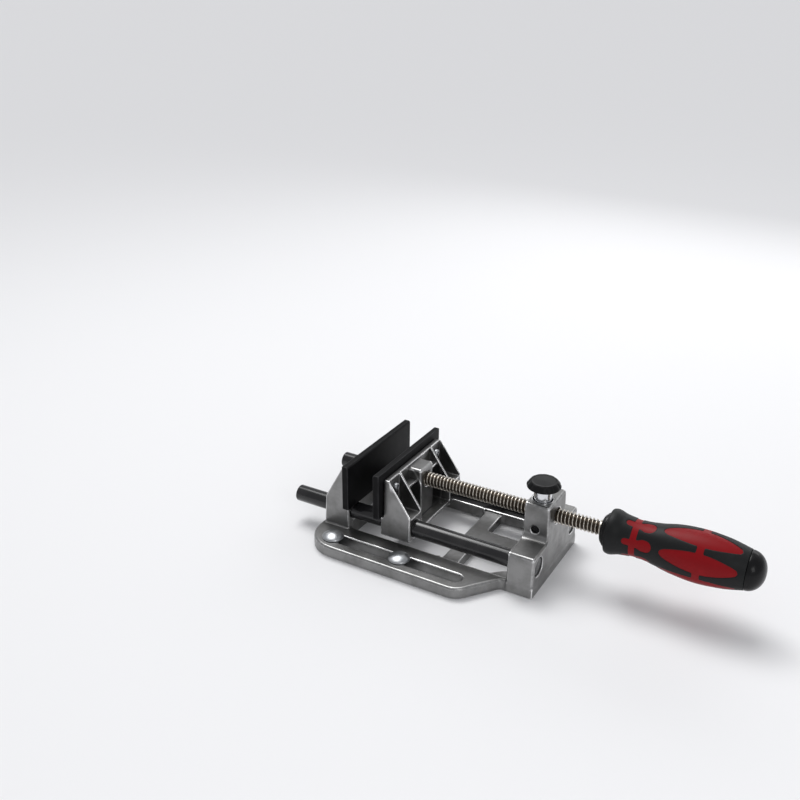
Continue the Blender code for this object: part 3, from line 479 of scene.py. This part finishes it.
coarse = 1.15
fine = 0.62
baseLines = (
    spacedLines(-121, 75, coarse, fine, [-118, -98.8, -93, -7.2, 7.2, 51, 72]),
    spacedLines(-79, 79, coarse, fine, [s * v for s in (-1, 1) for v in (76, 67, 56.5, 45, 42.5, 26, 17.5)]),
    spacedLines(-2, 67, coarse, fine, [0, 9, 34, 64]),
)
addCarved("baseCastingBody", baseField, baseLines, "casting", "base", ["base_casting"])


# --- Moving jaw casting, measured from its seat ---

jaw = {
    "seat": -59.2,
    "outline": [(-2.3, 14.5, 1.2), (25, 14.5, 1.2), (25, 36.5, 2.5), (13.6, 53, 8), (5.6, 64.6, 2), (0, 64.6, 0.6),
                (0, 31.2, 0), (-2.3, 31.2, 0.5)],
}


def jawField(x, y, z):
    across, side = x - jaw["seat"], np.abs(y)
    drafted = 45.2 - np.maximum(z - 14, 0) * 0.035
    body = meet(inOutline(arcCorners(jaw["outline"]), across, z), side - drafted, 1.3)
    body = cut(body, boxField(across, side, z, (4.5, 27.1, 34.8), (40, 42.8, 90), 1.4), 0.6)
    beside = boxField(across, side, z, (4.5, 10.2, 19.3), (40, 24.9, 90), 1.2)
    before = boxField(across, y, z, (16, -24.9, 19.3), (40, 24.9, 90), 1.2)
    body = cut(body, join(beside, before, 0.8), 0.6)
    boss = boxField(across, y, z, (2, -10.2, 18), (16, 10.2, 61.7), 2.2)
    body = cut(body, boxField(across, y, z, (4.5, -24.9, 60.2), (40, 24.9, 90), 0.3), 0.3)
    body = join(body, boss, 1.2)
    web = boxField(across, side, z, (3, 8, 50.1), (12, 26, 52.5), 0.7)
    body = join(body, web, 0.9)
    mark = np.maximum(rod(across, side, 20.5, 19, 2.2), 18.9 - z)
    body = cut(body, mark, 0.15)
    body = cut(body, boxField(across, y, z, (3, -24.9, 0), (40, 24.9, 16.3), 1.0), 0.6)
    body = cut(body, rod(side, z, 35.3, 23.65, 7.35), 0.5)
    body = cut(body, np.maximum(rod(side, z, 34, 56, 2.85), across - 12), 0.3)
    body = cut(body, np.maximum(rod(y, z, 0, 50.16, 5.35), 4 - across), 0.2)
    body = cut(body, np.maximum(rod(y, z, 0, 50.16, 6.65), 13.2 - across), 0.5)
    return cut(body, np.maximum(rod(across, side, 8.6, 5.3, 1.8), slab(z, 0, 55.5)), 0.2)


coarse = 0.95
fine = 0.5
jawLines = (
    spacedLines(-64, -32, coarse, fine, [-61, -54.7, -43, -35]),
    spacedLines(-48, 48, coarse, fine, [s * v for s in (-1, 1) for v in (44, 26, 10.5)]),
    spacedLines(12, 67, coarse, fine, [15, 19, 34, 51, 61]),
)
addCarved("movingJawBody", jawField, jawLines, "casting", "moving_jaw", ["moving_jaw_casting"])


# --- Jaw plates, rods and screws ---

def plateField(lowX, highX, way):
    # Box with a small slant along the top of its clamping face; way is the side that face looks to.
    face = highX if way > 0 else lowX

    def field(x, y, z):
        body = boxField(x, y, z, (lowX, -51, 31.5), (highX, 51, 70.9), 0.5)
        return meet(body, ((z - 70.9) + way * (x - face) + 1.0) / math.sqrt(2), 0.3)
    return field


for name, lowX, highX, way, body in (("fixedJawPlateBody", -94.0, -88.5, 1, "base"),
                                     ("movingJawPlateBody", -65.0, -59.5, -1, "moving_jaw")):
    lines = (spacedLines(lowX - 1, highX + 1, 2.5, 0.22, [lowX, highX], 1.2),
             spacedLines(-52.5, 52.5, 4.0, 0.25, [-51, 51], 2.0),
             spacedLines(30, 72.4, 4.0, 0.25, [31.5, 70.9], 2.0))
    node = "fixed_jaw_plate" if body == "base" else "moving_jaw_plate"
    addCarved(name, plateField(lowX, highX, way), lines, "plate", body, [node], 0.3)

for place, side in (("near", -1), ("far", 1)):
    corners = [(-147.5, 0, 0), (-147.5, 7, 0.8), (71.3, 7, 0.5), (71.3, 0, 0)]
    addTurned("guideRod_" + place, "X", (0, side * 35.3, 23.65), corners, 96, "rod", "base",
              ["guide_rod_" + place])
    for jawName, seat, way, body in (("fixed", -94.3, -1, "base"), ("moving", -59.2, 1, "moving_jaw")):
        head = 4.8 * way
        corners = [(-3.8 * way, 0, 0), (-3.8 * way, 2.5, 0.2), (head, 2.5, 0.1), (head, 3.4, 0.2),
                   (head + 3 * way, 3.2, 1.4), (head + 3 * way, 1.5, 0.2), (head + 1.4 * way, 1.4, 0.2),
                   (head + 1.4 * way, 0, 0)]
        if way < 0:
            corners = corners[::-1]
        addTurned(f"{jawName}JawScrew_{place}", "X", (seat, side * 34, 56), corners, 48, "zinc", body,
                  [f"{jawName}_jaw_screw_{place}"])


# --- Spindle: the radius follows a trapezoid thread, r(x, a) = crest - depth * groove(x / pitch - a / turn) ---

thread = {"crest": 6.0, "depth": 1.45, "pitch": 3.0, "start": -42.8, "end": 107.0, "around": 72, "perPitch": 14}
count = int((thread["end"] - thread["start"]) / thread["pitch"] * thread["perPitch"])
along = np.linspace(thread["start"], thread["end"], count)
angle = np.linspace(0, 2 * np.pi, thread["around"], endpoint=False)
phase = (along[:, None] / thread["pitch"] - angle[None, :] / (2 * np.pi)) % 1.0
groove = np.clip((0.41 - np.abs(phase - 0.5)) / 0.22, 0, 1)
groove = groove * groove * (3 - 2 * groove)
runOut = np.clip(np.minimum(along + 44.0, 106.6 - along) / 1.2, 0, 1)[:, None]
radius = thread["crest"] - thread["depth"] * groove * runOut
neck = np.array([(-54.7, 4.5), (-54.2, 5.0), (-52.4, 5.0), (-52.4, 3.5), (-48.8, 3.5), (-48.8, 5.0),
                 (-44.1, 5.0), (-44.1, 5.9)])
heel = np.array([(107.0, 5.0), (180.0, 5.0)])
heights = np.concatenate([neck[:, 0], along, heel[:, 0]])
ring = np.ones((1, thread["around"]))
radii = np.concatenate([neck[:, 1:] * ring, radius, heel[:, 1:] * ring])
depth = np.concatenate([neck[:, 1:] * ring * 0, groove * runOut, heel[:, 1:] * ring * 0]).ravel()
points, faces = turnedGrid("X", (0, 0, 50.16), heights, radii, thread["around"])
addPiece("spindleThread", points, faces, "screw", "spindle", ["spindle"],
         {"depth": np.concatenate([depth, [0, 0]])})


# --- Handle: a red core shows where the black sleeve dips under it ---

handle = {
    "sleeve": [(113.4, 16.9), (114.6, 17.3), (124.3, 15.5), (135, 14.35), (149.9, 15.75), (161.7, 18.35),
               (180, 20.15), (197.3, 18.75), (213.9, 15.1)],
    "leaf": [(153.6, -1.5), (154.4, 0.9), (156, 2.5), (160, 4.2), (165, 5.6), (171, 6.9), (178, 7.8), (184, 8.0),
             (190, 7.5), (196, 6.3), (202, 4.6), (206.5, 2.9), (208.6, 1.5), (209.6, -1.0)],
    "turnStart": 13.0, "repeats": 6, "proud": 0.35, "dip": 1.0, "rings": 270, "around": 252,
}


def smoothThrough(points, x):
    # Monotone-looking curve: Catmull-Rom slopes, cubic between neighbours.
    px, py = np.array(points, float).T
    slopes = np.gradient(py, px)
    index = np.clip(np.searchsorted(px, x) - 1, 0, len(px) - 2)
    width = px[index + 1] - px[index]
    t = np.clip((x - px[index]) / width, 0, 1)
    return ((2 * t ** 3 - 3 * t ** 2 + 1) * py[index] + (t ** 3 - 2 * t ** 2 + t) * width * slopes[index]
            + (3 * t ** 2 - 2 * t ** 3) * py[index + 1] + (t ** 3 - t ** 2) * width * slopes[index + 1])


def redPattern(x, angle, radius):
    # Depth inside the red areas: two bands round the handle, and on every repeat a finger, a lobe and a leaf.
    turn = 2 * np.pi / handle["repeats"]
    start = math.pi - math.radians(handle["turnStart"])
    across = np.abs((angle - start + turn / 2) % turn - turn / 2) * radius
    bands = np.maximum(2.3 - np.abs(x - 134.0), 2.6 - np.abs(x - 182.2)) + 0 * across
    finger = 2.5 - np.hypot(x - np.clip(x, 128.6, 134), across)
    swell = np.clip((x - 136.5) / 5, 0, 1)
    lobe = 3.0 + 1.6 * swell * swell * (3 - 2 * swell) - np.hypot(x - np.clip(x, 134, 143.6), across)
    wide = smoothThrough(handle["leaf"], np.clip(x, 153.6, 209.6))
    steep = np.gradient(wide, axis=0) / np.gradient(x, axis=0)
    leaf = (wide - across) / np.sqrt(1 + steep ** 2)
    leaf = np.where((x < 153.6) | (x > 209.6), -1.5, leaf)
    front = -join(-finger, -lobe, 0.5)
    return -join(-bands, -np.maximum(front, leaf), 0.9)


along = np.linspace(113.4, 213.9, handle["rings"])
angle = np.linspace(0, 2 * np.pi, handle["around"], endpoint=False)
skin = smoothThrough(handle["sleeve"], along)[:, None]
red = redPattern(along[:, None], angle[None, :], skin)
outer = skin - np.clip(red * 1.5 + 0.3, 0, handle["dip"])
ring = np.ones((1, handle["around"]))
heights = np.concatenate([[112.9, 112.9, 113.0, 113.15], along, [213.9]])
radii = np.concatenate([12.0 * ring, 15.8 * ring, 16.3 * ring, 16.6 * ring, outer, 13.6 * ring])
points, faces = turnedGrid("X", (0, 0, 50.16), heights, radii, handle["around"])
addPiece("handleSleeveGrip", points, faces, "grip", "spindle", ["handle_sleeve"])

along = np.linspace(118, 210.6, 140)
coreRadius = smoothThrough(handle["sleeve"], along) - handle["proud"]
corners = np.concatenate([[[113.6, 11.4]], [[117.6, 11.4]], np.stack([along, coreRadius], -1), [[210.7, 11.4]]])
points, faces = turnedGrid("X", (0, 0, 50.16), corners[:, 0], corners[:, 1], 128)
addPiece("handleCoreShell", points, faces, "core", "spindle", ["handle_core"])

corners = [(107.8, 5.4, 0), (107.8, 9.6, 0.8), (109.0, 11.3, 0.6), (110.0, 11.6, 0.15), (110.1, 12.5, 0.4),
           (110.7, 13.0, 0.4), (112.2, 13.1, 0.3), (112.6, 12.6, 0.2), (112.6, 5.4, 0)]
addTurned("handleFerruleCollar", "X", (0, 0, 50.16), corners, 96, "cap", "spindle", ["handle_ferrule"])

quarter = np.linspace(0, np.pi / 2, 28)
dome = np.stack([214.4 + 12.0 * np.sin(quarter), 14.9 * np.maximum(np.cos(quarter), 0) ** 0.92], -1)
plug = np.array([(206.0, 5.6), (207.0, 6.1), (214.2, 6.1), (214.2, 14.3), (214.25, 14.7)])
outline = np.concatenate([plug, dome])
outline[:, 1] = np.maximum(outline[:, 1], 1e-3)
points, faces = turnedGrid("X", (0, 0, 50.16), outline[:, 0], outline[:, 1], 112)
addPiece("handleEndCapDome", points, faces, "cap", "spindle", ["handle_end_cap"])


# --- Release button and the carrier with its stem ---

button = {"x": 60.3, "y": -5.0, "scallops": 12, "around": 168}
angle = np.linspace(0, 2 * np.pi, button["around"], endpoint=False)
path = roundedProfile([(76.9 + 0.3, 0.001, 0), (77.2, 7.4, 0), (75.0, 7.5, 0.1), (75.0, 12.8, 0.5), (75.7, 13.3, 0.4),
                       (76.9, 13.25, 0.5), (79.9, 10.9, 0.6), (80.4, 10.0, 0.5), (80.1, 8.9, 0.5),
                       (80.2, 5.0, 2.0), (80.35, 0.001, 0)], 6)
wave = np.abs(np.sin(angle * button["scallops"] / 2)) ** 0.7
reach = np.clip((path[:, 1] - 9.2) / 3.0, 0, 1) * np.clip((path[:, 0] - 75.2) / 1.2, 0, 1)
radii = path[:, 1:] - 0.75 * reach[:, None] * (1 - wave[None, :])
points, faces = turnedGrid("Z", (button["x"], button["y"], 0), path[:, 0], radii, button["around"])
addPiece("releaseButtonCap", points, faces, "button", "release", ["release_button"])


def carrierField(x, y, z):
    frameBox = boxField(x, y, z, (54.4, -13, 31), (66.2, 13, 62.5), 0.5)
    frameBox = cut(frameBox, boxField(x, y, z, (40, -8.6, 35), (80, 8.6, 59.96), 0.8), 0.3)
    grooves = boxField(x, np.abs(y), z, (57.0, 11.4, 39.7), (63.6, 16, 49.8), 0.4)
    stem = meet(rod(x, y, 60.3, -5, 7.1), slab(z, 62, 76.9), 0.4)
    return join(cut(frameBox, grooves, 0.2), stem, 0.4)


carrierLines = (spacedLines(52, 69, 0.8, 0.45, [54.4, 66.2]), spacedLines(-15, 15, 0.8, 0.4, [-13, 13, -8.6, 8.6]),
                spacedLines(29, 78, 0.9, 0.45, [31, 35, 60, 62.5, 76.9]))
addCarved("releaseCarrierStem", carrierField, carrierLines, "chrome", "release", ["release_carrier"], 0.3)


# --- Hold-down bolts ---

def boltField(middleX, middleY):
    def field(x, y, z):
        u, v, w = x - middleX, y - middleY, z - 10
        away = np.sqrt(u * u + v * v)
        # Dome: part of a ball that passes over the rim and the top, met with the flat underside.
        ball = np.sqrt(away ** 2 + (w + 10.6) ** 2) - 15.0
        head = meet(meet(ball, away - 9, 0.9), 0.3 - w, 0.25)
        neck = boxField(u, v, w, (-4, -4, -5.5), (4, 4, 1), 0.4)
        shank = meet(away - 4, slab(w, -9.5, 0), 0.4)
        return join(join(head, neck, 0.0), shank, 0.0)
    return field


for nearFar, middleY in (("near", -61.7), ("far", 61.7)):
    for rearFront, middleX in (("rear", -96.6), ("front", -34.2)):
        lines = (spacedLines(middleX - 10, middleX + 10, 0.6, 0.4, [middleX - 9, middleX + 9], 1.5),
                 spacedLines(middleY - 10, middleY + 10, 0.6, 0.4, [middleY - 9, middleY + 9], 1.5),
                 spacedLines(-0.5, 15.5, 0.8, 0.3, [10.5, 12, 14], 1.2))
        addCarved(f"holdDownBolt_{nearFar}_{rearFront}", boltField(middleX, middleY), lines, "zinc",
                  f"bolt_{nearFar}_{rearFront}", [f"hold_down_bolt_{nearFar}_{rearFront}"], 0.3)


# --- Release spring: a wire of round section wound as a helix ---

spring = {"radius": 4.5, "wire": 0.7, "turns": 7, "low": 4.3, "high": 30.0, "perTurn": 40, "section": 12}
t = np.linspace(0, 1, spring["turns"] * spring["perTurn"] + 1)
wind = 2 * np.pi * spring["turns"] * t
rise = spring["low"] + (spring["high"] - spring["low"]) * t
centre = np.stack([60.3 + spring["radius"] * np.cos(wind), spring["radius"] * np.sin(wind), rise], -1)
outward = np.stack([np.cos(wind), np.sin(wind), 0 * wind], -1)
forward = np.gradient(centre, axis=0)
forward /= np.linalg.norm(forward, axis=1, keepdims=True)
upward = np.cross(outward, forward)
section = np.linspace(0, 2 * np.pi, spring["section"], endpoint=False)[None, :, None]
tube = centre[:, None] + spring["wire"] * (np.cos(section) * outward[:, None] + np.sin(section) * upward[:, None])
points = np.concatenate([tube.reshape(-1, 3), centre[[0, -1]]])
springPiece = addPiece("releaseSpringCoil", points, gridFaces(len(t), spring["section"]), "steel", "base",
                       ["release_spring"])
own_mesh(springPiece)


# --- CAD pieces that stay as they are, in a finish of their own ---

kept = {"half_nut": "bronze", "thrust_washer": "steel", "spring_seat_plate": "steel",
        "spring_seat_screw_near": "zinc", "spring_seat_screw_far": "zinc",
        "spindle_keeper_pin_near": "steel", "spindle_keeper_pin_far": "steel",
        "carrier_stop_pin_near": "rod", "carrier_stop_pin_far": "rod"}
for node, finish in kept.items():
    nodes[node].data.materials.clear()
    nodes[node].data.materials.append(finishes[finish])
print("kept CAD nodes:", len(kept))


# --- Floor, light and camera ---

floorMesh = bpy.data.meshes.new("paleFloor")
floorMesh.from_pydata([(-60, -60, 0), (60, -60, 0), (60, 60, 0), (-60, 60, 0)], [], [(0, 1, 2, 3)])
floor = bpy.data.objects.new("paleFloor", floorMesh)
bpy.context.scene.collection.objects.link(floor)
floorFinish = bpy.data.materials.new("paleSweep")
floorFinish.use_nodes = True
floorFinish.node_tree.nodes["Principled BSDF"].inputs["Base Color"].default_value = rgb(0.86, 0.86, 0.87)
floorFinish.node_tree.nodes["Principled BSDF"].inputs["Roughness"].default_value = 0.7
floorMesh.materials.append(floorFinish)

world = bpy.data.worlds.new("paleRoom")
bpy.context.scene.world = world
world.use_nodes = True
world.node_tree.nodes["Background"].inputs["Color"].default_value = rgb(0.96, 0.97, 1.0)
world.node_tree.nodes["Background"].inputs["Strength"].default_value = 0.46


def addLamp(name, place, target, size, power, colour=(1, 1, 1)):
    lamp = bpy.data.lights.new(name, "AREA")
    lamp.shape = "RECTANGLE"
    lamp.size, lamp.size_y = size
    lamp.energy = power
    lamp.color = colour
    thing = bpy.data.objects.new(name, lamp)
    bpy.context.scene.collection.objects.link(thing)
    thing.location = place
    thing.rotation_euler = (Vector(target) - Vector(place)).to_track_quat("-Z", "Y").to_euler()
    return thing


broad = bpy.data.lights.new("broadSky", "SUN")
broad.energy, broad.angle = 1.25, math.radians(40)
broadThing = bpy.data.objects.new("broadSky", broad)
bpy.context.scene.collection.objects.link(broadThing)
broadThing.rotation_euler = Vector((0.35, -0.25, -1)).to_track_quat("-Z", "Y").to_euler()
addLamp("largeSoftbox", (-0.5, 0.3, 1.15), (0, 0, 0.03), (0.5, 0.4), 3)
addLamp("sideSoftbox", (0.95, -0.75, 0.7), (0.02, 0, 0.03), (0.4, 0.5), 2)
addLamp("backStrip", (0.1, 1.1, 0.55), (0, 0, 0.03), (1.2, 0.35), 2.2)
bpy.context.scene.view_settings.view_transform = "Standard"

view = {"focal": 941.04, "pitch": 24.38, "yaw": 29.95, "roll": 0.4, "place": (0.2777, -0.6031, 0.4306)}
pitch, yaw, roll = (math.radians(view[key]) for key in ("pitch", "yaw", "roll"))
back = Vector((math.sin(yaw) * math.cos(pitch), -math.cos(yaw) * math.cos(pitch), math.sin(pitch)))
right = Vector((math.cos(yaw), math.sin(yaw), 0))
right = right * math.cos(roll) + back.cross(right) * math.sin(roll)
lens = bpy.data.cameras.new("mainCamera")
lens.sensor_width = 36
lens.lens = view["focal"] * 36 / 800
lens.clip_start = 0.01
camera = bpy.data.objects.new("mainCamera", lens)
bpy.context.scene.collection.objects.link(camera)
camera.matrix_world = Matrix.Translation(view["place"]) @ Matrix((right, back.cross(right), back)).transposed().to_4x4()
bpy.context.scene.camera = camera
